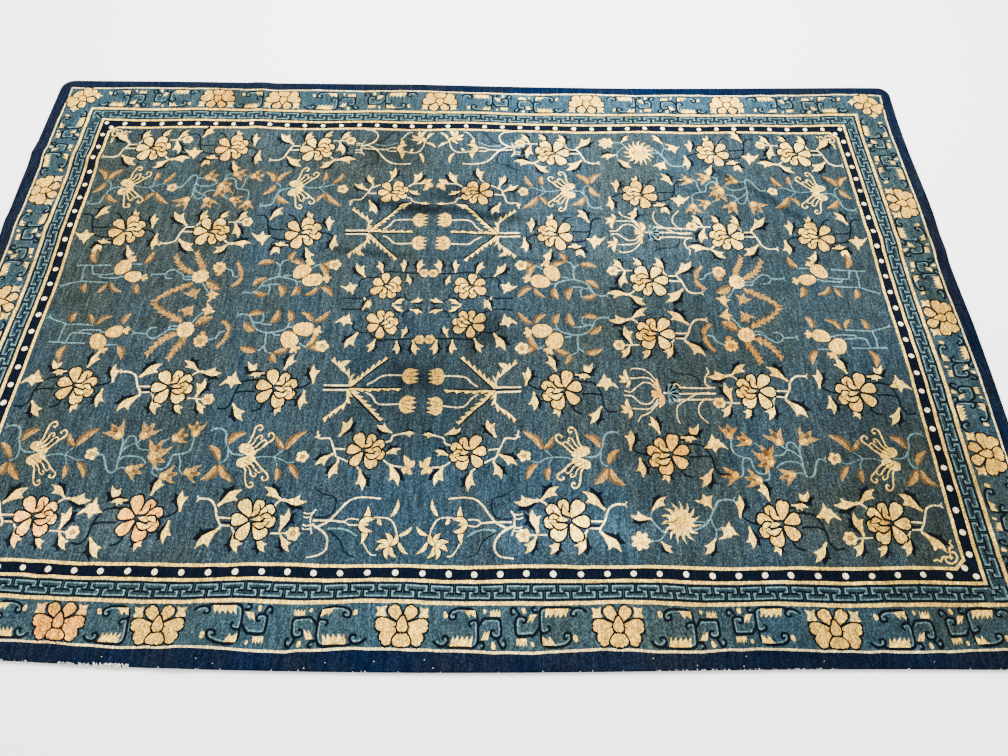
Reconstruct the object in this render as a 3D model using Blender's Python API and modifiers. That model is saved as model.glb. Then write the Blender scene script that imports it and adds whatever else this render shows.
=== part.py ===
"""A hand-knotted wool rug of about nine feet by six, lying on a floor.

The whole rug is one sheet: cotton warps and wefts with a wool pile knotted on
them. Its edges are a little uneven, its corners are worn round, and it stands
off the floor in a few low, soft ridges.

Frame: +X along the long side, +Y across it, +Z up. The origin is on the floor
under the middle of the rug.
"""

import math

import bmesh
import bpy

# ---------------------------------------------------------------- dimensions
LENGTH = 2.740          # along X, nine feet
WIDTH = 1.830           # along Y, six feet
THICKNESS = 0.009       # foundation and worn pile together
CORNER_RADIUS = 0.040   # the corners are rubbed round

CELL = 0.072            # spacing of the mesh lines over the rug
CORNER_STEPS = (0.0, 0.08, 0.29, 0.62, 1.0)   # mesh lines near an edge, in corner radii

# How far each edge is drawn in from the full rectangle. Every row is one soft
# swell along the edge: its middle, its half width and its depth, in metres.
EDGE_SWELLS = {
    "back": (
        {"middle": 0.46, "half_width": 1.00, "depth": 0.014},
        {"middle": -0.55, "half_width": 0.42, "depth": 0.004},
    ),
    "front": (
        {"middle": -1.40, "half_width": 0.85, "depth": 0.017},
        {"middle": 0.85, "half_width": 0.80, "depth": 0.009},
    ),
    "left": (
        {"middle": 0.10, "half_width": 0.46, "depth": 0.009},
        {"middle": -0.66, "half_width": 0.34, "depth": 0.006},
    ),
    "right": (
        {"middle": 0.70, "half_width": 0.36, "depth": 0.009},
        {"middle": 0.18, "half_width": 0.24, "depth": 0.006},
        {"middle": -0.55, "half_width": 0.40, "depth": 0.005},
    ),
}

# The soft ridges, each along a straight line, in metres.
RIDGES = (
    # across the upper middle of the field
    {"start": (-0.34, 0.40), "end": (0.16, 0.33), "half_width": 0.080, "height": 0.0060},
    # slanting in the far right of the field
    {"start": (0.56, 0.64), "end": (0.90, 0.40), "half_width": 0.075, "height": 0.0065},
    # ripples that enter from the left edge
    {"start": (-1.40, 0.585), "end": (-1.14, 0.55), "half_width": 0.075, "height": 0.0070},
    {"start": (-1.40, 0.31), "end": (-1.22, 0.27), "half_width": 0.075, "height": 0.0045},
    # a ripple that enters from the right edge
    {"start": (1.40, 0.22), "end": (1.17, 0.27), "half_width": 0.075, "height": 0.0050},
    # old fold lines that run across the rug
    {"start": (-0.72, 0.95), "end": (-0.66, 0.45), "half_width": 0.070, "height": 0.0040},
    {"start": (0.64, 0.10), "end": (0.63, -0.60), "half_width": 0.080, "height": 0.0030},
    # a low swell right of the middle and one by the front edge
    {"start": (-0.20, -0.09), "end": (0.20, -0.07), "half_width": 0.085, "height": 0.0040},
    {"start": (-0.62, -0.95), "end": (-0.48, -0.74), "half_width": 0.075, "height": 0.0035},
)


# ------------------------------------------------------------------- formulas
def swell(distance, half_width):
    """A cosine bell: one at the middle, flat and zero from half_width on."""
    if abs(distance) >= half_width:
        return 0.0
    return 0.5 + 0.5 * math.cos(math.pi * distance / half_width)


def drawn_in(edge, along):
    """How far the named edge lies inside the full rectangle at one place."""
    rows = EDGE_SWELLS[edge]
    return sum(row["depth"] * swell(along - row["middle"], row["half_width"]) for row in rows)


def uneven(x, y):
    """Move a point of the true rectangle to its place in the uneven outline.

    An edge's pull fades with the square of the distance from the middle line.
    """
    across = (y / (WIDTH / 2)) ** 2
    along = (x / (LENGTH / 2)) ** 2
    new_x = x - along * drawn_in("right", y) if x > 0 else x + along * drawn_in("left", y)
    new_y = y - across * drawn_in("back", x) if y > 0 else y + across * drawn_in("front", x)
    return new_x, new_y


def lift(x, y):
    """Height of the rug's underside: the highest ridge at this place.

    Across a ridge the height is a cosine bell, and it fades at both ends.
    """
    highest = 0.0
    for ridge in RIDGES:
        (ax, ay), (bx, by) = ridge["start"], ridge["end"]
        length = math.hypot(bx - ax, by - ay)
        ux, uy = (bx - ax) / length, (by - ay) / length
        along = (x - ax) * ux + (y - ay) * uy
        side = (y - ay) * ux - (x - ax) * uy
        beyond = max(0.0, -along, along - length)
        bell = swell(side, ridge["half_width"]) * swell(beyond, ridge["half_width"])
        highest = max(highest, ridge["height"] * bell)
    return highest


def mesh_lines(extent):
    """Places of the mesh lines along one side: close by the corners, even between."""
    near = [CORNER_RADIUS * step for step in CORNER_STEPS]
    inner = extent - 2 * CORNER_RADIUS
    count = round(inner / CELL)
    even = [CORNER_RADIUS + inner * i / count for i in range(1, count)]
    far = [extent - place for place in reversed(near)]
    return [place - extent / 2 for place in near + even + far]


def rounded(x, y):
    """Pull a point in the square of a corner radius onto or inside the corner's arc."""
    centre_x = LENGTH / 2 - CORNER_RADIUS
    centre_y = WIDTH / 2 - CORNER_RADIUS
    over_x, over_y = abs(x) - centre_x, abs(y) - centre_y
    if over_x <= 0 or over_y <= 0:
        return x, y
    # square to disc: the larger offset becomes the distance from the centre
    scale = max(over_x, over_y) / math.hypot(over_x, over_y)
    return (
        math.copysign(centre_x + over_x * scale, x),
        math.copysign(centre_y + over_y * scale, y),
    )


# ---------------------------------------------------------------------- parts
def wool():
    material = bpy.data.materials.new("rug_wool")
    material.use_nodes = True
    shader = material.node_tree.nodes["Principled BSDF"]
    shader.inputs["Base Color"].default_value = (0.045, 0.115, 0.165, 1.0)
    shader.inputs["Roughness"].default_value = 0.95
    shader.inputs["Metallic"].default_value = 0.0
    return material


def make_rug(collection):
    """A grid bent to the rug's top side, given its thickness downwards."""
    columns, rows = mesh_lines(LENGTH), mesh_lines(WIDTH)
    build = bmesh.new()
    bmesh.ops.create_grid(
        build, x_segments=len(columns) - 1, y_segments=len(rows) - 1, size=0.5
    )
    for vertex in build.verts:
        column = round((vertex.co.x + 0.5) * (len(columns) - 1))
        row = round((vertex.co.y + 0.5) * (len(rows) - 1))
        x, y = uneven(*rounded(columns[column], rows[row]))
        vertex.co = (x, y, THICKNESS + lift(x, y))
    mesh = bpy.data.meshes.new("rug")
    build.to_mesh(mesh)
    build.free()
    mesh.materials.append(wool())
    rug = bpy.data.objects.new("rug", mesh)
    collection.objects.link(rug)
    body = rug.modifiers.new("thickness", "SOLIDIFY")
    body.thickness = THICKNESS
    body.offset = -1.0
    return rug


def main():
    for old in list(bpy.data.objects):
        bpy.data.objects.remove(old, do_unlink=True)
    collection = bpy.data.collections.new("knotted_rug")
    bpy.context.scene.collection.children.link(collection)
    make_rug(collection)


main()
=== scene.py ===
"""A hand-knotted wool rug of about nine feet by six, seen from one long side.

It lies flat with a few low ridges. The field is set with rows of flowers and
sprays, mirrored left to right and front to back; three borders run round it.
"""

import itertools

import bpy
import numpy as np
from mathutils import Matrix
from mathutils.geometry import delaunay_2d_cdt


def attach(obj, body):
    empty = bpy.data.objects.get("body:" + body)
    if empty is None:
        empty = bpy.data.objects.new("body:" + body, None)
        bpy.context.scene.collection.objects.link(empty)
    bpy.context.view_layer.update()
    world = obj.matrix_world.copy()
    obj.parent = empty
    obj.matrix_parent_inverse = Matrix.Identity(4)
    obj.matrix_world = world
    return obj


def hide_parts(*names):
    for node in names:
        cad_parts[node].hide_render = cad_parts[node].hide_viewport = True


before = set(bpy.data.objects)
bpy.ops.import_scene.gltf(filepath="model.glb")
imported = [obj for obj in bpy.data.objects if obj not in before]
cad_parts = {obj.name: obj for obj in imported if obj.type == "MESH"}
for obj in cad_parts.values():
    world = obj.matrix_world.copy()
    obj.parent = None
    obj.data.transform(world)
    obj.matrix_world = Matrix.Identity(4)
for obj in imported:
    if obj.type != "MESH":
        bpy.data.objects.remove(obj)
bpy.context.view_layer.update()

# ============================================================ the rug's ground
# The rug is one sheet of wool knots on cotton warps. Before any flower is drawn,
# this settles its rectangle and the stripes that frame the field.
length, width = 2.740, 1.830
corner = 0.040

# Each stripe runs all round: how far its outer edge lies inside the rug's edge, in metres.
GUARD, FRET_EDGE, FIELD_EDGE = 0.0353, 0.1370, 0.2120
STRIPES = (
    ("guard", 0.0),
    ("ivory", GUARD),
    ("border_blue", 0.0398),
    ("cream", 0.1290),
    ("fret_blue", FRET_EDGE),
    ("cream", 0.1790),
    ("band_navy", 0.1860),
    ("cream", FIELD_EDGE),
    ("field_blue", 0.2190),
)
CM = 0.01


class Drawing:
    """The pattern: closed outlines in metres, each in one yarn; a later one covers an earlier one."""

    def __init__(self):
        self.yarns, self.outlines = [], []

    def lay(self, yarn, outline):
        self.yarns.append(yarn)
        self.outlines.append(np.asarray(outline, float))

    def place(self, motif, x, y, turn=0.0, flip_x=False, flip_y=False, size=1.0):
        """Lay a motif drawn in centimetres: mirrored, then scaled, turned by degrees and moved."""
        angle = np.radians(turn)
        cos, sin = np.cos(angle), np.sin(angle)
        spin = np.array([[cos, sin], [-sin, cos]])
        mirror = np.array([-1.0 if flip_x else 1.0, -1.0 if flip_y else 1.0])
        for yarn, outline in motif:
            self.lay(yarn, (np.asarray(outline) * mirror * size * CM) @ spin + (x, y))


def rounded_rectangle(inset, step=0.030):
    """A rectangle that lies inset from the rug's edge, cut in even steps, with round corners."""
    half_x, half_y = length / 2 - inset, width / 2 - inset
    arc = max(corner - inset, 0.0)
    flat_x, flat_y = half_x - arc, half_y - arc
    across = np.linspace(-1, 1, 2 + int(2 * flat_x / step))[:-1]
    along = np.linspace(-1, 1, 2 + int(2 * flat_y / step))[:-1]
    turn = np.linspace(0, np.pi / 2, 7)[:-1] if arc > 0 else np.zeros(0)
    sides = [
        np.stack([across * flat_x, np.full(len(across), -half_y)], 1),
        np.stack([flat_x + arc * np.sin(turn), -flat_y - arc * np.cos(turn)], 1),
        np.stack([np.full(len(along), half_x), along * flat_y], 1),
        np.stack([flat_x + arc * np.cos(turn), flat_y + arc * np.sin(turn)], 1),
    ]
    half = np.vstack(sides)
    return np.vstack([half, -half])


def curve(points, steps=3):
    """A smooth open line through the points: Catmull-Rom pieces, each cut in equal steps."""
    p = np.asarray(points, float)
    ends = np.vstack([2 * p[0] - p[1], p, 2 * p[-1] - p[-2]])
    a, b, c, d = ends[:-3], ends[1:-2], ends[2:-1], ends[3:]
    t = np.linspace(0, 1, steps, endpoint=False)[:, None, None]
    line = b + 0.5 * t * (c - a + t * (2 * a - 5 * b + 4 * c - d + t * (3 * (b - c) + d - a)))
    return np.vstack([line.transpose(1, 0, 2).reshape(-1, 2), p[-1]])


def ribbon(points, width=0.42, end=None, steps=3):
    """A line of even width, or one that narrows to the width end: moved to both sides, its corners mitred."""
    line = curve(points, steps) if steps > 1 else np.asarray(points, float)
    step = np.diff(line, axis=0)
    step /= np.linalg.norm(step, axis=1)[:, None]
    normal = np.stack([-step[:, 1], step[:, 0]], 1)
    before, after = normal[np.r_[0, :len(normal)]], normal[np.r_[:len(normal), -1]]
    mitre = (before + after) / (1 + (before * after).sum(1).clip(-0.4))[:, None]
    half = np.linspace(width, width if end is None else end, len(line))[:, None] / 2
    return np.vstack([line - mitre * half, (line + mitre * half)[::-1]])


def stems(yarn, *rows):
    """Ribbons in one yarn; a row holds a line's points, its width and, where it narrows, its end's width."""
    return [(yarn, ribbon(*row)) for row in rows]


def closed(*runs, steps=3):
    """A closed outline from smooth runs of points; each run starts at the corner where the last one ended."""
    return np.vstack([curve(run, steps)[:-1] for run in runs])


def turned(points, heading, at=(0.0, 0.0), scale=1.0):
    """Points drawn towards +X, scaled, turned to a heading in degrees and moved."""
    angle = np.radians(heading)
    cos, sin = np.cos(angle), np.sin(angle)
    return np.asarray(points) * scale @ np.array([[cos, sin], [-sin, cos]]) + np.asarray(at, float)


def petal(heading, start, reach, breadth, notch=0.10, points=16, at=(0.0, 0.0)):
    """A round petal: a full oval, broader at its far end, with a shallow notch there."""
    around = np.linspace(0, 2 * np.pi, points, endpoint=False)
    along = 0.5 - 0.5 * np.sign(np.cos(around)) * np.abs(np.cos(around)) ** 0.85
    across = np.sign(np.sin(around)) * np.abs(np.sin(around)) ** 0.85 * (0.66 + 0.36 * along)
    dent = notch * np.exp(-((across / 0.30) ** 2)) * (along > 0.6)
    egg = np.stack([start + (reach - start) * (along - dent), across * breadth / 2], 1)
    return turned(egg, heading, at)


def spoon(heading, start, reach, breadth, at=(0.0, 0.0), grow=0.0):
    """A petal narrow at its root, broad beyond its middle and shallowly notched; grow is a rim all round."""
    t = np.array([0.0, 0.22, 0.48, 0.74, 0.92, 1.0])
    half = np.array([0.14, 0.50, 0.88, 1.0, 0.76, 0.30]) * breadth / 2 + grow
    along = start - grow + (reach - start + 2 * grow) * t
    upper, lower = np.stack([along, half], 1), np.stack([along, -half], 1)
    notch = [(along[-1] - 0.05 * (reach - start), 0.0)]
    return turned(np.vstack([lower, notch, upper[::-1]]), heading, at)


def rimmed(yarn, *shape, rim=0.42, **other):
    """A petal over a thin dark rim."""
    return [("navy", spoon(*shape, grow=rim, **other)), (yarn, spoon(*shape, **other))]


def blade(at, heading, reach, breadth, bend=0.0, steps=7):
    """A pointed leaf: a sine's width carried along a line that bends to one side."""
    t = np.linspace(0, 1, steps)
    half = 0.5 * breadth * np.sin(np.pi * t ** 0.85) ** 0.8
    line = bend * reach * np.sin(np.pi * t)
    upper = np.stack([t * reach, line + half], 1)
    lower = np.stack([t * reach, line - half], 1)[::-1]
    return turned(np.vstack([upper, lower[1:-1]]), heading, at)


def edged(yarn, at, heading, reach, breadth, bend=0.0, rim=0.40):
    """A blade over a thin dark rim."""
    root = turned([(-rim, 0)], heading, at)[0]
    under = blade(root, heading, reach + 2 * rim, breadth + 2 * rim, bend)
    return [("navy", under), (yarn, blade(at, heading, reach, breadth, bend))]


# A slim leaf that curves and ends in three points, like a wing, drawn along +X; and the dark one under it.
WING_LEAF = np.array([
    (0, -0.04), (0.22, -0.05), (0.40, -0.10), (0.58, -0.13), (0.76, -0.07), (0.98, 0.10), (0.79, 0.10),
    (0.64, 0.14), (0.62, 0.33), (0.50, 0.21), (0.38, 0.15), (0.22, 0.07), (0, 0.04),
])
WING_SHADE = np.array([
    (0.02, 0), (0.18, -0.14), (0.36, -0.25), (0.46, -0.27), (0.50, -0.44), (0.60, -0.29), (0.92, -0.24),
    (0.78, -0.08), (0.46, 0.04),
])


def leaf(x, y, heading, reach, side=1, shade=True, yarn="cream"):
    """A wing-like leaf with its dark twin showing along its back."""
    shapes = [("navy", turned(WING_SHADE * (1, side), heading, (x, y), reach))] if shade else []
    return shapes + [(yarn, turned(WING_LEAF * (1, side), heading, (x, y), reach))]


def four_leaf(x, y, size, heading=0.0, yarn="cream"):
    """A broad leaf with three uneven points and a shoulder, its sides drawn in between them."""
    shape = [
        (1.20, 0.22), (0.72, 0.36), (0.40, 0.44), (0.20, 1.02), (-0.18, 0.52), (-0.60, 0.46), (-1.18, 0.88),
        (-0.84, 0.22), (-0.56, -0.08), (-0.52, -0.40), (-0.14, -0.48), (0.06, -1.20), (0.34, -0.56),
        (0.58, -0.36), (0.78, -0.02),
    ]
    return [(yarn, turned(shape, heading, (x, y), size * 0.95))]


def rosette(x, y, radius, lobes=8, depth=0.16, heart="tan", points=None, yarn="cream"):
    """A round blossom with a scalloped rim and a darker heart."""
    around = np.linspace(0, 2 * np.pi, points or lobes * 4, endpoint=False)
    rim = radius * (1 - depth * (1 - np.abs(np.cos(lobes * around / 2))))
    shape = np.stack([rim * np.cos(around), rim * np.sin(around)], 1) + (x, y)
    inner = around[::3]
    core = 0.45 * radius * np.stack([np.cos(inner), np.sin(inner)], 1) + (x, y)
    return [(yarn, shape), (heart, core)] if heart else [(yarn, shape)]


def fork(x, y, heading, size=0.9, yarn="ivory"):
    """The cut end of a stem: two short horns."""
    horns = [[(-0.6, 0), (0, 0.15), (0.35, 0.75)], [(-0.6, 0), (0, -0.15), (0.35, -0.75)]]
    return [(yarn, ribbon(turned(horn, heading, (x, y), size), 0.32, 0.256, 2)) for horn in horns]


# ==================================================================== peonies
# Flowers are knotted into the ground in other yarns, so each is a patch of it. A peony has a
# broad head over dark rims, with stems and leaves. Motifs are in centimetres about their middle.

# heading, root, reach and breadth of each broad petal, the lowest first
BLOOM = (
    (178, 0.9, 4.7, 2.9), (116, 0.9, 5.2, 2.8), (-122, 0.9, 5.6, 3.0), (52, 1.1, 5.7, 3.3),
    (8, 1.8, 5.7, 2.7), (-72, 1.5, 5.1, 2.3), (-32, 1.9, 5.7, 2.6),
)
# root, heading, reach, breadth and bend of each curled petal
CURLS = (
    ((0.5, 1.1), -8, 3.7, 1.3, 0.18), ((0.1, 0.0), -34, 4.0, 1.25, 0.22), ((-0.4, -0.9), -62, 3.2, 1.1, 0.22),
    ((2.3, -0.7), 14, 2.5, 1.1, -0.16),
)


def bloom(turn=0.0, size=1.0, broad="cream", small="peach"):
    """A peony's head: broad petals round one side, smaller ones heaped on the other, over dark rims."""
    shapes = []
    for row in BLOOM:
        shapes += rimmed(broad, *row)
    for row in CURLS:
        shapes += edged(small, *row)
    return [(yarn, turned(outline, turn, (0, 0), size)) for yarn, outline in shapes]


def peony_light():
    """A peony on pale stems: two lines run to a main stem that ends in a fork."""
    parts = []
    for row in (
        (-7.1, 2.2, 140, 6.8, -1), (-3.6, 2.8, 78, 5.6, -1), (1.9, 4.2, 62, 4.6, -1),
        (7.4, 3.8, 62, 4.9, -1), (7.0, 3.2, -70, 6.0, -1), (6.6, -4.7, 10, 6.2, -1),
        (6.3, -4.8, -135, 5.6, -1), (-8.5, -3.0, -46, 6.8, 1),
    ):
        parts += leaf(*row)
    parts += stems("navy", ([(-1.8, 0.75), (-7.0, 0.85)], 0.5))
    parts += stems(
        "ivory",
        ([(-1.0, 1.5), (-4.0, 1.55), (-7.0, 1.5)], 0.35),
        ([(-4.0, -0.2), (-7.9, -0.2)], 0.39),
        ([(-7.1, 2.5), (-7.2, 1.4), (-8.2, -0.2), (-8.9, -2.2), (-9.6, -3.6), (-11.2, -4.5),
          (-13.2, -4.5)], 0.43),
        ([(-4.3, 1.5), (-4.0, 2.4), (-3.3, 3.2)], 0.35),
        ([(5.0, 3.5), (9.2, 3.6)], 0.30),
        ([(4.3, -2.6), (5.3, -4.0), (6.6, -4.8), (7.4, -4.9)], 0.39),
    )
    parts += fork(-13.4, -4.5, 180)
    parts += rosette(10.4, 3.6, 1.7, 6, 0.20)
    return parts + bloom()


def peony_dark():
    """A peony on thin dark stems with a four-pointed leaf beside it."""
    parts = []
    for line in (
        [(-13.6, 6.0), (-11.6, 6.1), (-10.3, 4.6), (-10.0, 2.2), (-9.0, -0.8), (-7.0, -2.3), (-2.4, -2.4)],
        [(-10.0, 1.8), (-8.6, 1.1), (-4.6, 1.1)],
        [(-6.2, -2.4), (-4.8, -3.6), (-2.4, -3.7)],
        [(4.4, 0.2), (6.4, 0.0), (8.4, -1.0), (9.6, -2.8), (8.8, -4.6), (7.6, -5.4)],
        [(-2.0, 4.6), (-3.0, 6.0), (-4.6, 6.6)],
    ):
        parts.append(("navy", ribbon(line, 0.50)))
    for row in (
        (-9.6, 4.6, 62, 5.8, -1), (-4.4, -3.4, -132, 5.8, 1), (1.8, -5.4, -72, 5.4, 1),
        (2.4, 3.9, 112, 4.2, -1), (7.6, 0.8, 98, 5.4, -1), (9.6, -1.2, -100, 5.6, 1),
        (-3.2, -4.4, 176, 4.0, -1),
    ):
        parts += leaf(*row)
    parts += four_leaf(-11.2, -2.2, 2.5, 8)
    return parts + bloom(18, broad="peach", small="cream")


# ============================================================ the other flowers
# The field's other motifs, knotted in the same yarns: lilies, magnolia, a chrysanthemum, irises,
# bamboo, narcissus, pomegranates and pine.

def tan_leaf(x, y, heading, reach, breadth=1.7, bend=0.12):
    """A pointed leaf, brown along one side and lighter along the other."""
    off = turned([(0.06 * reach, -0.16 * breadth)], heading, (x, y))[0]
    return [
        ("brown", blade((x, y), heading, reach, breadth * 1.06, bend)),
        ("tan", blade(off, heading, reach * 0.93, breadth * 0.66, bend * 0.9, 6)),
    ]


def lilies():
    """Two bell heads back to back, each with curling filaments, on a pale branch with tan leaves."""
    parts = stems(
        "pale",
        ([(-13.2, 5.8), (-11.4, 5.9), (-9.9, 4.9), (-9.4, 2.6), (-8.7, 0.7), (-7.4, -0.8),
          (-4.6, -1.1)], 0.50, 0.42),
        ([(-8.7, 0.4), (-8.4, -1.6), (-9.0, -3.0), (-10.2, -3.5)], 0.32),
        ([(-1.6, -1.8), (0.2, -1.2), (2.8, -1.2), (4.8, -1.8), (6.6, -2.6), (8.2, -2.4)], 0.26),
        ([(3.0, -1.2), (4.2, 0.0), (5.0, 0.8)], 0.26),
        ([(3.0, -1.3), (3.9, -2.6), (4.1, -4.0)], 0.26),
    )
    parts += fork(-13.3, 5.8, 180, 0.9, "pale")
    for row in (
        (-9.2, 1.6, 40, 5.6, 1.9, 0.14), (-10.2, -3.2, 128, 5.6, 1.9, -0.14),
        (-10.2, -3.8, -128, 5.8, 2.0, 0.16), (-9.9, -3.6, -50, 6.0, 2.0, -0.12),
        (5.0, 0.9, 124, 4.2, 1.4, 0.10), (5.0, 0.7, 46, 7.4, 1.8, 0.10), (4.1, -3.8, -84, 3.9, 1.5, 0.08),
        (6.8, -2.8, -58, 5.4, 1.5, 0.08),
    ):
        parts += tan_leaf(*row)
    parts += rosette(9.9, -1.0, 1.7, 5, 0.28, "tan")
    for up in (1, -1):
        head = (-3.2, -1.2)
        bell = [(-0.2, 0.0), (-2.4, 1.0), (-2.7, 2.3), (-1.7, 3.1), (0.2, 2.6), (1.7, 1.0), (1.0, 0.0)]
        parts.append(("cream", closed(bell + bell[:1], steps=3) * (1, up) + head))
        for line, thick in (
            ([(-1.9, 1.9), (-0.4, 3.6), (0.0, 5.6), (0.5, 7.6), (1.5, 8.3), (2.2, 7.7),
              (1.8, 6.9), (1.3, 7.2)], 0.46),
            ([(-0.8, 2.2), (0.6, 3.4), (1.3, 5.0), (2.2, 5.4), (2.4, 4.7), (2.0, 4.5)], 0.38),
            ([(0.0, 1.7), (1.4, 2.6), (2.4, 3.9), (3.2, 4.3), (3.7, 3.7), (3.3, 3.3)], 0.36),
            ([(0.8, 0.7), (2.4, 2.0), (3.9, 3.6), (5.2, 4.7), (5.4, 5.7), (4.6, 6.3),
              (3.9, 5.8), (4.2, 5.3)], 0.46),
        ):
            parts.append(("cream", ribbon(np.array(line) * (1, up) + head, thick * 0.85, thick * 0.7, 3)))
        for line in ([(-1.5, 1.3), (0.2, 2.4), (1.4, 3.9)], [(-0.8, 0.9), (1.0, 1.6), (2.2, 2.9)]):
            parts.append(("navy", ribbon(np.array(line) * (1, up) + head, 0.20, 0.26, 3)))
    return parts


def star_flower(x, y, heading, size, yarn="tan"):
    """A magnolia seen from the side: a cup whose three petals end in points."""
    cup = [(-1.6, 0.3), (-1.2, 1.0), (0.2, 1.3), (1.0, 2.0), (2.3, 2.6)]
    first = [(2.3, 2.6), (1.6, 1.2), (1.3, 0.6)]
    middle = [(1.3, 0.6), (2.2, 0.5), (3.1, 0.0), (2.2, -0.4), (1.3, -0.6)]
    last = [(1.3, -0.6), (1.5, -1.6), (2.6, -2.6)]
    under = [(2.6, -2.6), (0.8, -2.0), (0.0, -1.3), (-1.3, -0.9), (-1.6, 0.3)]
    outer = turned(closed(cup, first, middle, last, under, steps=2), heading, (x, y), size)
    heart = petal(heading, 0.1 * size, 2.0 * size, 1.1 * size, 0, 8, (x, y))
    base = petal(heading, -1.5 * size, 0.3 * size, 1.6 * size, 0, 8, (x, y))
    return [(yarn, outer), ("brown", heart), ("peach", base)]


def magnolia():
    """A looping pale branch with tan star blossoms."""
    parts = stems(
        "pale",
        ([(-13.4, -1.2), (-11.8, -1.3), (-10.8, -3.4), (-9.9, -5.4), (-8.8, -6.1), (-7.9, -5.2), (-7.9, -2.0),
          (-7.9, 1.6), (-8.3, 3.4)], 0.44),
        ([(-7.7, 1.2), (-6.9, 3.2), (-5.8, 3.6), (-4.9, 2.9), (-4.5, 1.2), (-3.2, 0.0), (-1.2, -0.2)], 0.36),
        ([(-7.7, -0.4), (-6.4, 0.9), (-4.4, 1.8), (-3.4, 2.9)], 0.36),
        ([(-7.8, -3.0), (-6.8, -1.9), (-4.4, -1.7), (-2.4, -2.4), (-1.2, -3.6)], 0.36),
        ([(-7.9, -5.2), (-6.6, -4.8), (-5.6, -5.0)], 0.34),
        ([(0.6, -4.4), (1.4, -5.2), (3.4, -5.2), (4.4, -3.6), (4.9, -1.6), (6.6, -1.2), (8.6, -0.4),
          (9.1, 1.4), (9.1, 3.6)], 0.38),
        ([(6.3, -1.3), (7.0, -3.2), (7.2, -5.4), (8.2, -6.6)], 0.34),
        ([(0.7, -4.6), (1.0, -6.4), (2.4, -7.1)], 0.32),
        ([(1.6, 1.6), (2.4, 2.4), (3.2, 2.8)], 0.32),
    )
    parts += fork(-13.4, -1.2, 180, 1.0, "pale")
    for row in (
        (-9.7, 4.4, 128, 1.1), (-2.9, 4.2, 62, 1.05), (0.4, -1.0, 70, 1.2), (0.6, -2.4, -20, 0.95),
        (5.0, 3.2, 20, 0.9), (9.2, 5.0, 92, 0.95), (-4.2, -5.4, -20, 0.95), (4.3, -7.0, 10, 0.95),
        (9.8, -6.2, -10, 0.95),
    ):
        parts += star_flower(*row)
    return parts


def spiky_flower():
    """A chrysanthemum like a small sun, its rays all bent one way, between two branches."""
    parts = []
    for row in (
        (-6.2, 3.0, 46, 5.2, -1), (-6.4, 1.0, 176, 5.2, -1), (-4.5, -4.6, -52, 3.8, 1),
        (8.4, -3.8, -124, 4.8, -1),
    ):
        parts += leaf(*row)
    parts += stems(
        "pale",
        ([(-2.8, -2.4), (-4.2, -2.0), (-6.2, 0.4), (-6.4, 2.2), (-5.9, 3.4)], 0.34),
        ([(-3.2, -2.5), (-4.6, -4.2), (-6.0, -4.5), (-8.2, -4.5)], 0.34),
        ([(2.2, 0.0), (6.2, 0.0)], 0.38),
        ([(3.4, -2.0), (5.0, -1.5), (7.4, 0.8), (8.8, 3.2), (10.0, 4.8), (11.6, 5.2), (13.4, 5.2)], 0.44),
        ([(7.6, 0.8), (7.8, -0.4), (8.6, -1.8), (8.4, -3.9)], 0.32),
        ([(8.6, -1.7), (9.8, -1.6)], 0.32),
    )
    parts += fork(13.5, 5.2, 0, 1.0, "pale")
    parts += four_leaf(7.0, 4.8, 2.0, 30) + four_leaf(11.4, -2.2, 2.1, 70)
    parts += rosette(-9.3, -4.4, 2.4, 7, 0.34, "peach")
    rays = 15
    around = np.arange(rays) * 2 * np.pi / rays
    swirl = np.stack([around, around + 0.10, around + 0.30, around + 0.24], 1)
    reach = np.tile([2.8, 3.9, 5.2, 3.6], (rays, 1))
    rim = np.stack([reach * np.cos(swirl), reach * np.sin(swirl)], 2).reshape(-1, 2) * (0.92, 1.0)
    parts.append(("cream", rim + (0.5, -0.1)))
    parts.append(("peach", petal(0, -1.8, 2.2, 3.6, 0, 12, (0.6, -0.1))))
    parts.append(("navy", ribbon([(-2.9, 0.0), (-1.4, 0.1), (-0.3, 0.5)], 0.30, 0.2, 3)))
    parts.append(("navy", ribbon([(-1.4, -0.1), (-0.5, -0.6)], 0.26, 0.2, 3)))
    return parts


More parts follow.
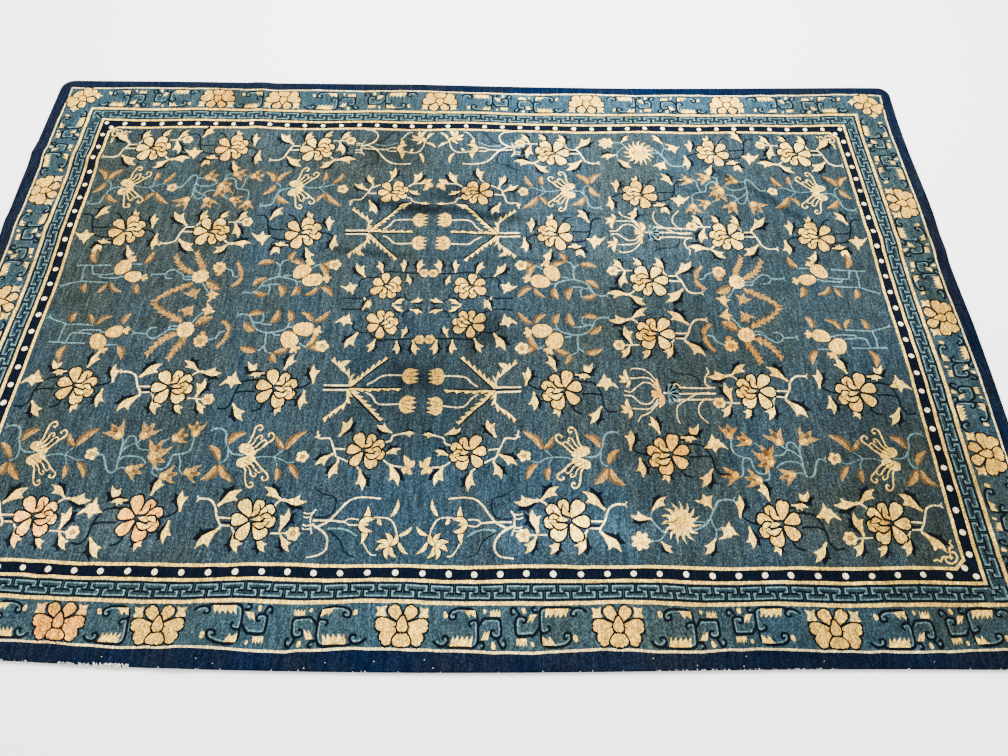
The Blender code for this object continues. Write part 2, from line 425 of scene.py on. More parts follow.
def iris_spray():
    """Irises on lines that rise from a bound root, with long curved leaves, some of them dark."""
    parts = stems(
        "navy",
        ([(-10.4, -0.4), (-7.4, -0.4), (-5.8, -1.8), (-5.6, -5.0), (-8.4, -6.0), (-11.0, -7.8)], 0.36, 0.30),
        ([(-6.2, 2.8), (-4.0, 4.4), (-2.8, 6.0), (-2.2, 7.4), (0.2, 8.6)], 0.36, 0.28),
    )
    parts += stems(
        "ivory",
        ([(-9.2, 2.0), (-6.2, 0.2), (-3.6, -3.2), (-1.4, -5.0), (1.4, -5.5), (5.0, -5.3)], 0.43, 0.34),
        ([(-10.6, 1.4), (-8.0, 2.8), (-6.6, 4.4), (-6.4, 6.8), (-7.8, 8.3), (-10.8, 8.9)], 0.48, 0.30),
    )
    parts += stems("pale", ([(-6.6, 2.3), (-3.8, 2.1), (-1.6, 2.6), (0.2, 3.6)], 0.44, 0.32))
    parts += stems(
        "ivory",
        ([(-10.4, 0.5), (-6.4, 0.4), (-2.9, 0.5)], 0.36),
        ([(-2.9, 0.5), (-2.0, -0.2), (0.2, -0.1)], 0.28),
        ([(-2.9, 0.5), (-1.6, 1.3), (0.2, 1.2)], 0.28),
        ([(3.6, -0.6), (6.8, -0.6), (8.4, 1.0), (9.2, 3.4), (9.4, 4.8), (8.0, 5.9)], 0.30),
        ([(1.8, 5.2), (3.6, 7.8), (4.9, 8.1)], 0.28, 0.24),
    )
    for y in (-1.4, -0.4, 1.6, 2.4):
        parts.append(("ivory", ribbon([(-10.8, y), (-12.0, y + 0.2), (-12.8, y - 0.1)], 0.28, 0.20, 2)))
    parts.append(("ivory", ribbon([(-10.0, -2.2), (-10.9, -0.8), (-10.9, 1.6), (-10.2, 3.6)], 0.36, 0.34)))
    for row in ((-66, 4.6, 1.5, 0.22), (76, 4.9, 1.5, -0.22), (-16, 3.9, 1.2, -0.14), (28, 3.8, 1.2, 0.16)):
        parts += edged("cream", (0.3, 0.8), *row, 0.26)
    parts.append(("peach", blade((0.6, 0.8), 4, 2.0, 0.8)))
    for heading in (62, 100, 160, 196, 246, 292):
        parts += edged("cream", (7.9, 5.9), heading, 3.3, 1.1, 0.18, 0.26)
    parts.append(("peach", blade((7.6, 5.9), 178, 1.8, 0.7)))
    blades = ((7.4, -0.9, -70, 4.6), (9.6, 3.6, -38, 3.6), (9.6, 5.0, 50, 3.8), (4.8, -0.4, 60, 1.6))
    for x, y, heading, reach in blades:
        parts.append(("cream", blade((x, y), heading, reach, 0.85, 0.12)))
    return parts


def serrated(points, width, tooth, teeth, both=False):
    """A body along a line that narrows to its end, one side (or both) cut into needles that lean forwards."""
    line = curve(points, 4)
    at = np.linspace(0, len(line) - 1, 2 * teeth + 1)
    base = np.stack([np.interp(at, np.arange(len(line)), line[:, axis]) for axis in (0, 1)], 1)
    step = np.gradient(base, axis=0)
    step /= np.linalg.norm(step, axis=1)[:, None]
    normal = np.stack([-step[:, 1], step[:, 0]], 1)
    needle = (np.arange(len(at)) % 2)[:, None] * np.linspace(1.0, 0.75, len(at))[:, None]
    taper = width / 2 * np.linspace(1.0, 0.5, len(at))[:, None]
    other = np.roll(needle, 1, 0) * both
    near, far = normal * (taper + needle * tooth), -normal * (taper + other * tooth)
    lean = step * abs(tooth) * 1.2
    return np.vstack([base + near + lean * needle, (base + far + lean * other)[::-1]])


def pine_twig(points, tooth=1.1, teeth=6, shade=(0.0, -0.35)):
    """A twig with needles along one side, over its dark shadow."""
    width = 0.44 * np.sign(tooth)
    body = serrated(points, width, tooth, teeth)
    return [("navy", body + shade), ("cream", body)]


def carnation(x, y, size=1.0):
    """A tan carnation seen from the side: a round back, and a deeply cut fringe towards +X."""
    fringe = [(1.2, -2.3), (2.5, -2.0), (1.1, -1.4), (2.7, -0.8), (0.9, 0.0), (2.7, 0.8), (1.1, 1.4),
              (2.5, 2.0), (1.2, 2.3)]
    back = [(0.0, 2.8), (-1.3, 2.1), (-1.9, 0.8), (-1.9, -0.8), (-1.3, -2.1), (0.0, -2.8)]
    parts = [("peach", turned(fringe + back, 0, (x, y), size))]
    for line in ([(1.1, -1.4), (-0.3, -1.0)], [(0.9, 0.0), (-0.8, 0.0)], [(1.1, 1.4), (-0.3, 1.0)]):
        parts.append(("brown", ribbon(turned(line, 0, (x, y), size), 0.24, steps=1)))
    return parts


def bamboo():
    """A cut stalk of two pale lines with pine twigs, and two carnations that face the middle."""
    parts = stems("navy", ([(-12.6, 0.1), (6.8, 0.0)], 0.55, 0.34))
    parts += stems(
        "ivory",
        ([(-12.6, 0.7), (-5.8, 0.7)], 0.43),
        ([(-12.6, -0.6), (-5.8, -0.6)], 0.48),
        ([(-1.3, 1.0), (0.6, 2.2), (2.6, 3.8), (7.8, 3.8)], 0.36),
        ([(-1.6, -1.0), (0.4, -2.6), (2.2, -4.8), (7.8, -4.9)], 0.36),
    )
    parts += pine_twig([(-6.0, -0.3), (0, -0.35), (7.4, -0.4)], -0.7)
    parts += pine_twig([(-5.6, 0.6), (-1.6, 4.6), (3.4, 9.4)], 1.0, 7, (0.3, -0.4))
    parts += pine_twig([(-5.4, -0.8), (-1.0, -5.2), (3.2, -9.6)], 1.0, 7, (-0.3, -0.4))
    parts += pine_twig([(-6.0, 0.8), (-6.2, 3.2), (-8.6, 5.6), (-11.4, 8.2)], -1.3, 6, (0.0, 0.0))
    parts += pine_twig([(-6.2, -0.6), (-6.2, -4.0), (-9.0, -6.4), (-11.4, -8.6)], 1.1, 6)
    parts.append(("cream", blade((-9.0, 6.0), 40, 3.4, 1.4, 0.1)))
    parts += carnation(9.3, 3.6, 0.92) + carnation(9.2, -4.9, 0.92)
    return parts


def narcissus():
    """A fan of fine stems with small flowers, a dotted root, and three level stems beside it."""
    parts = [
        ("navy", ribbon([(1.6, 6.6), (3.6, 5.0), (7.0, 4.8), (9.2, 3.2), (9.5, 0.6)], 0.34)),
        ("navy", petal(0, 0.6, 4.4, 6.2, 0, 12)),
    ]
    for y, x in ((0.8, 4.0), (-0.9, 4.0), (-2.6, 3.4)):
        parts.append(("ivory", ribbon([(x, y), (13.2, y)], 0.37)))
    for line in (
        [(11.8, 1.0), (10.8, 2.2), (11.0, 4.2), (12.0, 5.4), (11.7, 7.0)],
        [(11.6, -0.6), (9.0, -0.8), (6.6, -2.0), (3.4, -4.4), (2.9, -7.2), (3.3, -9.2)],
        [(10.6, -2.2), (9.0, -3.6), (8.3, -5.4), (8.8, -7.4), (10.4, -9.4)],
        [(4.4, 0.9), (3.6, 1.8), (2.6, 1.4)],
        [(4.2, -2.6), (3.4, -3.2), (2.4, -2.6)],
    ):
        parts.append(("ivory", ribbon(line, 0.30, 0.26)))
    for line in (
        [(-1.4, 2.2), (-3.0, 4.8), (-5.2, 6.2), (-7.4, 6.3), (-8.0, 5.8)],
        [(-1.8, 1.6), (-3.6, 3.4), (-8.2, 3.4)],
        [(-2.2, 0.6), (-3.0, 1.8), (-5.0, 2.0), (-6.8, 0.6), (-8.4, -0.6), (-10.0, -0.2)],
        [(-2.0, -2.0), (-3.6, -3.8), (-6.0, -3.8), (-8.0, -1.8), (-10.2, -1.6)],
        [(-1.4, -2.6), (-3.6, -5.2), (-8.2, -5.2)],
        [(-1.0, -3.2), (-3.8, -6.2), (-6.0, -7.2), (-7.0, -8.8)],
    ):
        parts.append(("ivory", ribbon(line, 0.28)))
    for y in (3.4, -5.2):
        for heading, reach in ((102, 2.9), (-102, 2.9), (160, 2.6), (200, 2.6)):
            parts.append(("cream", blade((-8.8, y), heading, reach, 0.95, 0.16)))
        parts += rosette(-9.0, y, 0.55, 5, 0.1, None, 6, "peach")
    for heading, reach in ((100, 4.4), (-100, 4.2), (168, 2.6), (196, 2.6)):
        parts.append(("peach", blade((-0.6, -0.9), heading, reach, 1.4, 0.14)))
    parts.append(("ivory", ribbon([(0.0, -0.9), (2.0, -0.9)], 0.39)))
    spokes = np.radians([-76, -46, -16, 16, 46, 76])
    for a in spokes:
        tip = np.array([np.cos(a), np.sin(a)])
        parts.append(("pale", ribbon([(1.0, -0.9), tip * 3.2 + (1.0, -0.9)], 0.26, 0.2, 3)))
        for branch in (-0.5, 0.5):
            out = np.array([np.cos(a + branch), np.sin(a + branch)])
            parts.append(("pale", ribbon([tip * 2.0 + (1.0, -0.9),
                                          tip * 2.0 + out * 1.1 + (1.0, -0.9)], 0.26, 0.18, 2)))
    return parts


def pomegranate(x, y, heading, size):
    """A round fruit with a three-horned crown."""
    crown = [
        (2.2, 0.9), (3.2, 0.6), (3.7, 1.5), (4.4, 1.3), (4.3, 0.5), (5.2, 0.2), (4.3, -0.4), (4.3, -1.3),
        (3.7, -1.6), (3.2, -0.6), (2.2, -0.9),
    ]
    return [
        ("peach", turned(crown, heading, (x, y), size)),
        ("navy", turned(petal(0, -3.1, 2.8, 5.6, 0, 14), heading, (x, y), size)),
        ("peach", turned(petal(0, -2.85, 2.6, 5.1, 0, 14), heading, (x, y), size)),
    ]


def pomegranates_angular():
    """Two pomegranates on branches that turn in square steps, with tan leaves."""
    parts = []
    for line in (
        [(-10.8, -4.0), (-8.6, -4.0), (-8.3, -3.6), (-8.4, -1.4), (-8.2, 1.4), (-8.8, 1.9),
         (-11.2, 2.6), (-13.2, 3.4)],
        [(-8.3, 1.6), (-4.2, 1.7), (-0.6, 1.7)],
        [(-8.2, -4.0), (-6.0, -4.1), (-1.2, -4.2)],
        [(-6.4, -4.0), (-6.0, -2.4), (-5.4, -1.0), (-3.4, -0.9), (-0.2, -1.3), (0.4, -1.9)],
        [(-3.6, -0.9), (-3.0, 0.0), (1.6, 0.0), (2.2, -0.5), (4.0, -0.6)],
        [(4.4, -4.8), (7.6, -4.8)],
    ):
        parts.append(("pale", ribbon(line, 0.40, steps=3)))
    parts += fork(-13.2, 3.5, 160, 0.9, "pale")
    for row in (
        (-7.0, 2.1, 78, 3.6, 1.8, 0.1), (-0.9, 1.9, 122, 3.9, 1.4, -0.1), (0.0, 1.6, 38, 5.2, 1.4, 0.18),
        (7.4, 1.7, 72, 4.2, 1.8, 0.12), (-5.4, -4.6, -96, 5.8, 2.2, -0.22), (8.0, -4.9, -64, 5.0, 1.8, 0.1),
    ):
        parts += tan_leaf(*row)
    parts += pomegranate(5.9, -0.6, 8, 0.86)
    parts += pomegranate(2.2, -3.6, -56, 0.96)
    return parts


def pomegranates_leafy():
    """Two pomegranates and a blossom on a branch that carries many tan leaves."""
    parts = []
    for line in (
        [(-13.0, -5.1), (-11.0, -5.1), (-9.4, -4.0), (-8.2, -1.6), (-7.2, -0.4), (-4.6, 0.6), (-2.6, 0.4),
         (0.0, -0.4), (1.0, -1.2), (2.8, -1.2)],
        [(-8.4, -2.6), (-6.6, -2.6), (-5.9, -3.6), (-6.2, -5.6)],
        [(-6.8, -2.5), (-6.0, -2.1), (-3.4, -2.0)],
        [(-4.4, 0.8), (-4.2, 3.0), (-4.4, 4.6), (-5.8, 6.2)],
        [(-4.4, 4.8), (-3.8, 6.2), (-2.2, 7.0)],
        [(0.9, -1.2), (1.4, -2.6)],
        [(-2.8, 0.6), (-2.2, 1.2), (-0.8, 1.2)],
        [(4.6, 3.9), (6.2, 4.9), (8.8, 5.1)],
    ):
        parts.append(("pale", ribbon(line, 0.46, 0.38, 3)))
    parts += fork(-13.1, -5.1, 180, 0.9, "pale")
    for row in (
        (-6.2, -5.8, 168, 4.4, 1.7, 0.10), (-3.6, -2.1, -72, 4.8, 2.0, 0.14),
        (1.5, -2.6, -104, 4.0, 1.9, 0.12), (-7.2, 0.2, -142, 4.8, 2.0, -0.12),
        (-6.0, 6.2, 196, 5.0, 2.0, -0.1), (-2.4, 6.8, 62, 3.6, 1.7, 0.08), (-2.0, 7.0, -30, 5.2, 1.7, 0.12),
        (7.2, -3.0, -136, 4.6, 1.5, 0.12), (7.6, -2.6, -42, 5.6, 1.7, 0.08), (6.4, 4.5, 32, 4.4, 1.7, -0.1),
        (6.6, 5.4, -68, 5.4, 1.9, 0.12),
    ):
        parts += tan_leaf(*row)
    parts += pomegranate(5.2, -0.6, 10, 1.0)
    parts += pomegranate(1.8, 2.6, 60, 0.98)
    parts += rosette(10.6, 4.9, 1.9, 5, 0.26, "tan")
    return parts


def pine_spray(points, size=1.0):
    """A tan spray of pine, cut into needles on both sides, over a brown one."""
    body = serrated(points, 0.80 * size, 0.85 * size, 6, True)
    return [("brown", body + (0.25, -0.25)), ("tan", body)]


def pine_chrysanthemums():
    """A round chrysanthemum among tan pine sprays, with a second flower beside it and a looped stem."""
    parts = []
    for line in (
        [(-2.0, -0.2), (-4.2, -0.2), (-5.6, 1.2), (-7.6, 2.6), (-9.2, 2.2), (-10.0, 1.2), (-13.4, 1.2)],
        [(-10.0, 1.2), (-9.2, -0.4), (-7.4, -0.6)],
        [(-2.0, -1.2), (-3.8, -1.2), (-4.6, -0.6)],
        [(7.0, 2.9), (8.8, 2.2), (9.6, 0.6), (11.2, 0.2)],
        [(1.4, -2.4), (2.6, -4.4), (3.8, -5.6)],
    ):
        parts.append(("pale", ribbon(line, 0.40, steps=3)))
    parts += fork(-13.4, 1.2, 180, 0.9, "pale")
    parts += pine_spray([(-1.8, 1.2), (-4.6, 2.4), (-6.6, 4.6), (-8.2, 7.6)])
    parts += pine_spray([(0.8, 2.0), (-0.4, 4.2), (-1.6, 6.4), (-2.4, 8.8)])
    parts += pine_spray([(-1.6, -2.4), (-4.8, -4.2), (-7.6, -5.6), (-10.6, -8.4)], size=0.9)
    parts += pine_spray([(12.0, 0.4), (11.2, 3.0), (9.8, 5.2)], size=0.66)
    parts += pine_spray([(12.0, 0.2), (11.4, -1.6), (9.8, -3.0)], size=0.66)
    parts += tan_leaf(2.2, -1.4, -28, 5.4, 2.6, -0.12)
    parts += tan_leaf(4.2, 0.4, 36, 2.4, 1.8, 0.0)
    parts += four_leaf(-0.6, -6.0, 2.1, 30, "tan")
    parts += four_leaf(5.0, -6.4, 1.9, 100, "peach")
    parts += rosette(5.0, 3.2, 2.0, 9, 0.22, "tan", None, "peach")
    parts += rosette(0.2, -0.2, 2.35, 10, 0.10, "peach")
    return parts


def peony_large():
    """A broad peony for the columns that meet in the middle, with small blossoms by the middle line."""
    parts = []
    for row in (
        (-5.9, 2.6, 118, 5.2, -1), (-0.6, 5.0, 74, 5.6, 1), (6.4, 3.4, 62, 6.0, 1),
        (-7.4, 0.6, 152, 5.4, -1), (-6.6, -4.0, -58, 5.8, -1), (5.0, 0.8, -26, 4.2, 1),
        (8.6, -4.8, -4, 3.4, 1), (6.4, -4.8, -158, 4.6, 1),
    ):
        parts += leaf(*row)
    for line in (
        [(-12.2, -5.8), (-11.8, -3.8), (-9.0, -3.8), (-7.8, -1.4), (-7.0, 0.6), (-6.4, 1.6),
         (-2.4, 3.6), (-0.8, 5.0)],
        [(-7.4, -0.8), (-4.8, -0.6)],
        [(-6.4, 1.6), (-6.0, 2.8)],
        [(4.6, 2.2), (6.4, 3.6), (9.4, 4.0)],
        [(4.4, -2.0), (6.2, -2.6), (6.8, -4.0), (9.8, -4.9)],
    ):
        parts.append(("ivory", ribbon(line, 0.36)))
    parts += fork(-12.0, -4.2, 240)
    for heading, reach in ((60, 2.4), (110, 2.2), (-40, 2.2), (-110, 2.8)):
        parts.append(("peach", blade((10.6, 3.7), heading, reach, 1.5, 0.15)))
    return parts + bloom(8, 0.90, broad="peach")


def peony_small_dark():
    """A smaller peony within a loop of thin dark stems, with a bud and small leaves by the middle line."""
    parts = []
    for line in (
        [(-6.4, -3.2), (-6.6, -1.0), (-4.8, 0.4), (-2.4, 0.2), (-1.2, -0.6)],
        [(-10.6, -6.9), (-5.4, -6.9), (-2.6, -6.0)],
        [(-2.0, 0.6), (0.2, 2.6), (3.4, 2.4), (10.4, 2.0)],
        [(6.8, -4.8), (7.2, -6.6), (9.0, -7.4)],
    ):
        parts.append(("navy", ribbon(line, 0.44)))
    for row in (
        (-5.2, 0.6, 128, 6.0, -1), (-0.2, 2.2, 108, 4.6, 1), (5.6, 2.6, 84, 4.4, 1),
        (9.8, 2.4, 84, 4.8, -1), (7.0, 1.6, -70, 3.8, -1), (-4.6, -6.6, -66, 4.2, 1),
        (3.6, -8.6, 34, 3.8, -1), (8.6, -7.6, 12, 3.6, 1),
    ):
        parts += leaf(*row)
    parts += four_leaf(-9.0, -3.4, 2.1, 20)
    parts += rosette(11.6, 2.2, 1.4, 6, 0.16, "tan", None, "peach")
    blossom = bloom(-24, 0.84, broad="peach", small="cream")
    return parts + [(yarn, outline + (1.0, -2.4)) for yarn, outline in blossom]


def corner_scroll():
    """Two curls with trailing ends; the field's corner is at the origin, and inwards is +X +Y."""
    curl = [(1.3, 1.6), (2.4, 0.9), (3.6, 1.2), (3.6, 2.2), (2.7, 2.5), (2.3, 1.9)]
    tail = [(3.4, 2.4), (4.3, 2.3), (5.0, 1.3), (5.8, 1.7), (6.6, 1.2)]
    parts = []
    for line, wide, end in ((curl, 0.40, 0.34), (tail, 0.50, 0.26)):
        parts.append(("cream", ribbon(line, wide, end, 2)))
        parts.append(("cream", ribbon(np.array(line)[:, ::-1], wide, end, 2)))
    return parts


# ================================================================ the borders
# Three of the stripes carry a repeat: the key fret, the row of pearls, and the lotuses with
# square scrollwork between them.

def fret(unit):
    """One repeat of the key fret, 4.2 cm tall: two interlocked brackets, pale within a dark line."""
    half, parts = unit / 2, []
    for sign, shift in ((1.0, 0.0), (-1.0, half)):
        pale = np.array([(-1.65, 0.15), (-2.25, 0.15), (-2.25, 1.25), (2.25, 1.25),
                         (2.25, 0.15), (1.65, 0.15)])
        dark = np.array([(-1.15, -0.30), (-2.55, -0.30), (-2.55, 1.70), (2.55, 1.70),
                         (2.55, -0.30), (1.15, -0.30)])
        for yarn, points, wide in (("navy", dark, 0.44), ("pale", pale, 0.32)):
            parts.append((yarn, ribbon(points * (unit / 5.7 * sign, sign) + (shift, 0), wide, steps=1)))
    return parts


def lotus():
    """A lotus, its outer side up: a bud and five petals over dark rims, and a square leaf on either side."""
    wing = [(3.5, -1.6), (4.6, -1.3), (5.7, -1.6), (5.3, -2.6), (5.7, -3.7), (4.6, -3.4),
            (3.6, -3.9), (3.9, -2.7)]
    parts = [("cream", np.array(wing) * (side, 1)) for side in (-1, 1)]
    for lobes in (
        ((2, 1.3, 5.6, 2.7), (38, 1.2, 5.5, 2.9)), ((178, 1.3, 5.6, 2.7), (142, 1.2, 5.5, 2.9)),
        ((76, 1.5, 4.2, 2.2), (104, 1.5, 4.2, 2.2)), ((-57, 0.6, 4.5, 2.6),), ((-123, 0.6, 4.5, 2.6),),
        ((90, -1.7, 1.5, 2.2),),
    ):
        parts += [("navy", spoon(*lobe, grow=0.38)) for lobe in lobes]
        parts += [("peach", spoon(*lobe)) for lobe in lobes]
    return parts


def comb(x, y, breadth, height, teeth, lean=0.0):
    """A leaf whose far side is cut into pointed teeth, its straight side at y."""
    at = np.linspace(0, breadth, teeth + 1)
    tips = np.stack([at[:-1] + breadth / teeth * 0.6 + lean, np.full(teeth, height)], 1)
    dips = np.stack([at[1:] + lean * 0.3, np.full(teeth, height * 0.52)], 1)
    saw = np.stack([tips, dips], 1).reshape(-1, 2)[:-1]
    return np.vstack([[(0.25, 0)], [(breadth * 0.94, 0)], saw[::-1]]) + (x, y)


SCROLLS = {
    # a navy line with a pale one inside it: (points, which side the pale one is on)
    "long": (
        ([(6.6, 2.8), (7.6, 3.7), (9.0, 3.8), (9.9, 2.9), (9.6, 2.1), (8.7, 2.2), (8.8, 2.8)], -1),
        ([(9.4, 3.9), (12.0, 4.0), (15.2, 4.0), (16.3, 3.1), (16.4, 0.6), (16.2, -1.0), (14.9, -1.0),
          (14.3, -0.3), (14.9, 0.3)], -1),
        ([(16.2, -0.8), (16.0, -2.8), (14.8, -3.7), (11.6, -3.7), (10.0, -2.7), (10.2, -1.4), (11.3, -1.4),
          (11.5, -2.3), (10.9, -2.4)], -1),
        ([(16.5, 0.0), (17.6, -1.5), (18.4, -1.6), (20.9, -1.6), (21.4, -0.6), (21.4, 1.6), (20.4, 2.2),
          (19.3, 1.8), (19.4, 0.8), (20.2, 0.8)], 1),
        ([(16.6, 3.0), (17.6, 3.0), (17.9, 3.9), (17.1, 4.1)], 1),
        ([(20.6, 2.4), (21.6, 3.9), (22.4, 3.5), (22.3, 2.5), (21.7, 2.5)], -1),
    ),
    "leaves": (
        (10.1, 3.75, 5.2, -2.4, 5, 0.3), (13.0, -3.4, 2.9, 2.0, 2, 0.6), (16.8, 2.5, 1.8, -2.2, 2, 0.8),
        (18.8, -2.1, 2.6, -1.7, 4, 0.0),
    ),
    "buds": ((9.1, -2.4, 0.75), (19.7, 3.4, 0.7), (17.9, -3.2, 0.5)),
}


def scroll(reach=1.0, short=False):
    """The square scrollwork on one side of a lotus, with its leaves and buds; reach stretches it."""
    parts = []
    for points, side in SCROLLS["long"][: 3 if short else 6]:
        points = np.array(points) * (reach, 1)
        parts.append(("navy", ribbon(points, 0.60, 0.52, 2)))
        inner = ribbon(points, 1.08, 0.90, 2)
        half = len(inner) // 2
        line = inner[:half] if side < 0 else inner[half:][::-1]
        parts.append(("pale", ribbon(line[1:-1], 0.24, steps=1)))
    for x, y, breadth, height, teeth, lean in SCROLLS["leaves"][: 2 if short else 4]:
        parts.append(("cream", comb(x * reach, y, breadth * reach, height * 0.80, teeth, lean)))
    for x, y, size in SCROLLS["buds"][: 1 if short else 3]:
        parts.append(("cream", petal(70, -size, size, 1.5 * size, 0, 7, (x * reach, y))))
    return parts


# -------------------------------------------------------- everything in place
# The stripes are laid first, then pearls, fret, lotuses and scrolls, and last the flowers of
# the field: a later outline covers an earlier one.
drawing = Drawing()
for yarn, inset in STRIPES:
    drawing.lay(yarn, rounded_rectangle(inset))

# Pearls stand on the dark band; the field's corners are cut off to make room for one more.
# Those of the front side are spaced a little wider than those of the back.
PEARL, PEARL_BAND = 0.0072, 0.1990
PEARL_STEPS = {"back": 0.0565, "front": 0.0600, "left": 0.0535, "right": 0.0535}
CUT_CORNER = np.array([(0, 0), (0.0344, 0), (0.0274, 0.007), (0.007, 0.0274), (0, 0.0344)])
CORNER_NAVY = np.array([(-0.001, -0.001), (0.0255, -0.001), (-0.001, 0.0255)])
CORNER_PEARL_IN, CORNER_SCROLL_IN = 0.0065, 0.007
around = np.linspace(0, 2 * np.pi, 9)[:-1]
pearl = np.stack([np.cos(around), np.sin(around)], 1) * PEARL
for sx, sy in itertools.product((-1, 1), repeat=2):
    far = np.array([length / 2 - FIELD_EDGE, width / 2 - FIELD_EDGE])
    drawing.lay("cream", (far - CUT_CORNER) * (sx, sy))
    drawing.lay("band_navy", (far - CORNER_NAVY) * (sx, sy))
    drawing.lay("pearl", (pearl + far - CORNER_PEARL_IN) * (sx, sy))
    scroll_x, scroll_y = (far - CORNER_SCROLL_IN) * (sx, sy)
    drawing.place(corner_scroll(), scroll_x, scroll_y, 0, sx > 0, sy > 0)
    # the fret's mitred corner: a bracket bent square, and a dark line on the diagonal
    turning = [
        ("navy", ribbon([(4.0, 0.40), (0.40, 0.40), (0.40, 4.0)], 0.34, steps=1)),
        ("pale", ribbon([(3.7, 1.8), (3.7, 0.95), (0.95, 0.95), (0.95, 3.7), (1.8, 3.7)], 0.38, steps=1)),
        ("navy", ribbon([(1.5, 1.5), (4.0, 4.0)], 0.40, steps=1)),
        ("pale", ribbon([(2.7, 1.9), (4.2, 3.2)], 0.34, steps=1)),
        ("pale", ribbon([(1.9, 2.7), (3.2, 4.2)], 0.34, steps=1)),
    ]
    drawing.place(turning, sx * (length / 2 - FRET_EDGE), sy * (width / 2 - FRET_EDGE), 0, sx > 0, sy > 0)
for side, step in PEARL_STEPS.items():
    upright, sign = side in ("left", "right"), -1 if side in ("front", "left") else 1
    half = (width if upright else length) / 2 - PEARL_BAND
    other = sign * ((length if upright else width) / 2 - PEARL_BAND)
    count = round(2 * half / step)
    for along in np.linspace(-half, half, count + 1)[1 if upright else 0 : -1 if upright else None]:
        drawing.lay("pearl", pearl + ((other, along) if upright else (along, other)))

# The fret runs along each side between its mitred corners: its middle, its ends and about one repeat.
FRET, FRET_END, FRET_STEP = 0.1580, 0.1795, 0.0575
for full, other, upright in ((length, width / 2 - FRET, False), (width, length / 2 - FRET, True)):
    half = full / 2 - FRET_END
    count = round(2 * half / FRET_STEP)
    unit = 2 * half / count * 100
    for i in range(count):
        along = -half + 2 * half * (i + 0.25) / count
        for sign in (-1, 1):
            if upright:
                drawing.place(fret(unit), sign * other, along, 90 * sign)
            else:
                drawing.place(fret(unit), along, sign * other, 0, False, sign < 0)

# Lotuses stand along the wide border; between two of them the scrollwork is turned half round.
# For each side: the lotuses from end to end, and whether the leaf after each is at the outer edge.
# A pair of long scrolls, or one short one, is drawn for a gap of a set width and stretched to fit.
BORDER = 0.0840
NARROW_GAP, SHORT_SCROLL, LONG_SCROLL = 30, 16.4, 22.6
LOTUS_ROWS = {
    "back": ((-1.285, -0.845, -0.632, -0.120, 0.358, 0.818, 1.285), (0, 0, 0, 1, 1, 1)),
    "front": ((-1.285, -0.873, -0.658, -0.128, 0.347, 0.822, 1.285), (0, 1, 0, 1, 1, 1)),
    "left": ((-0.828, -0.410, 0.015, 0.428, 0.828), (1, 1, 1, 1)),
    "right": ((-0.828, -0.412, -0.008, 0.402, 0.828), (0, 0, 1, 1)),
}
for side, (places, outer) in LOTUS_ROWS.items():
    upright, flip = side in ("left", "right"), side in ("front", "right")
    across = (length if upright else width) / 2 - BORDER
    across = -across if side in ("front", "left") else across

    def stand(motif, along, mirror=False, upside=False):
        """Lay a border motif whose +Y side looks outwards, at this place along its side of the rug."""
        x, y = (across, along) if upright else (along, across)
        drawing.place(motif, x, y, 90 if upright else 0, mirror, upside != flip)

    for a, b, out in zip(places[:-1], places[1:], outer):
        gap = (b - a) * 100
        if gap < NARROW_GAP:
            stand(scroll((gap - 6.4) / SHORT_SCROLL, True), a, False, not out)
        else:
            stretch = min((gap / 2 - 0.4) / LONG_SCROLL, 1.1)
            stand(scroll(stretch), a, False, not out)
            stand(scroll(stretch), b, True, out)
    for place in places[1:-1]:
        stand(lotus(), place)
CORNER_LOTUS = (1.2825, 0.8285)
for sx, sy, turn in ((-1, -1, 135), (-1, 1, 45), (1, -1, -135), (1, 1, -45)):
    drawing.place(lotus(), sx * CORNER_LOTUS[0], sy * CORNER_LOTUS[1], turn, size=0.95)

# The field: nine columns by eight rows. Rows five to eight mirror rows four to one.
COLUMNS = {
    "A": -1.007, "B": -0.762, "C": -0.495, "D": -0.245, "D'": 0.013, "C'": 0.247, "E": 0.505,
    "B'": 0.747, "A'": 1.005,
}
ROWS = (0.607, 0.432, 0.273, 0.107, -0.068, -0.243, -0.418, -0.593)
# Each row of the back half: the motif in each column, and whether it was drawn as it stands there.
FIELD = (
    ((peony_light, True), (peony_dark, True), (peony_light, True), (iris_spray, True), (spiky_flower, False)),
    ((lilies, False), (magnolia, False), (lilies, False), (peony_large, True), (peony_dark, True)),
    ((peony_dark, True), (peony_light, True), (peony_dark, True), (bamboo, False), (narcissus, False)),
    (
        (pomegranates_angular, False), (pine_chrysanthemums, True), (pomegranates_leafy, True),
        (peony_small_dark, True), (peony_light, True),
    ),
)
for row, motifs in enumerate(FIELD):
    for column, (motif, as_drawn) in zip("ABCDE", motifs):
        flipped = column == "E" and motif in (peony_dark, peony_light)
        for at, over in ((row, not as_drawn), (7 - row, as_drawn)):
            drawing.place(motif(), COLUMNS[column], ROWS[at], 0, flipped, over)
            if column != "E":
                drawing.place(motif(), COLUMNS[column + "'"], ROWS[at], 0, True, over)

# Single knots are worn away on the front guard stripe and show the white foundation.
SPECKS, SPECK_SIZE = 18, 0.13
specks = np.random.default_rng(3).uniform((-1.3, 0.004), (1.3, 0.026), (SPECKS, 2))
for along, inside in specks:
    drawing.lay("pearl", pearl[::2] * SPECK_SIZE + (along, inside - width / 2))


# ------------------------------------------------------ from outlines to sheet
# The top is cut along every outline, so that each yarn has its own faces. Its edge is rounded
# over and its ridges are raised; the underside shows the stripes only.

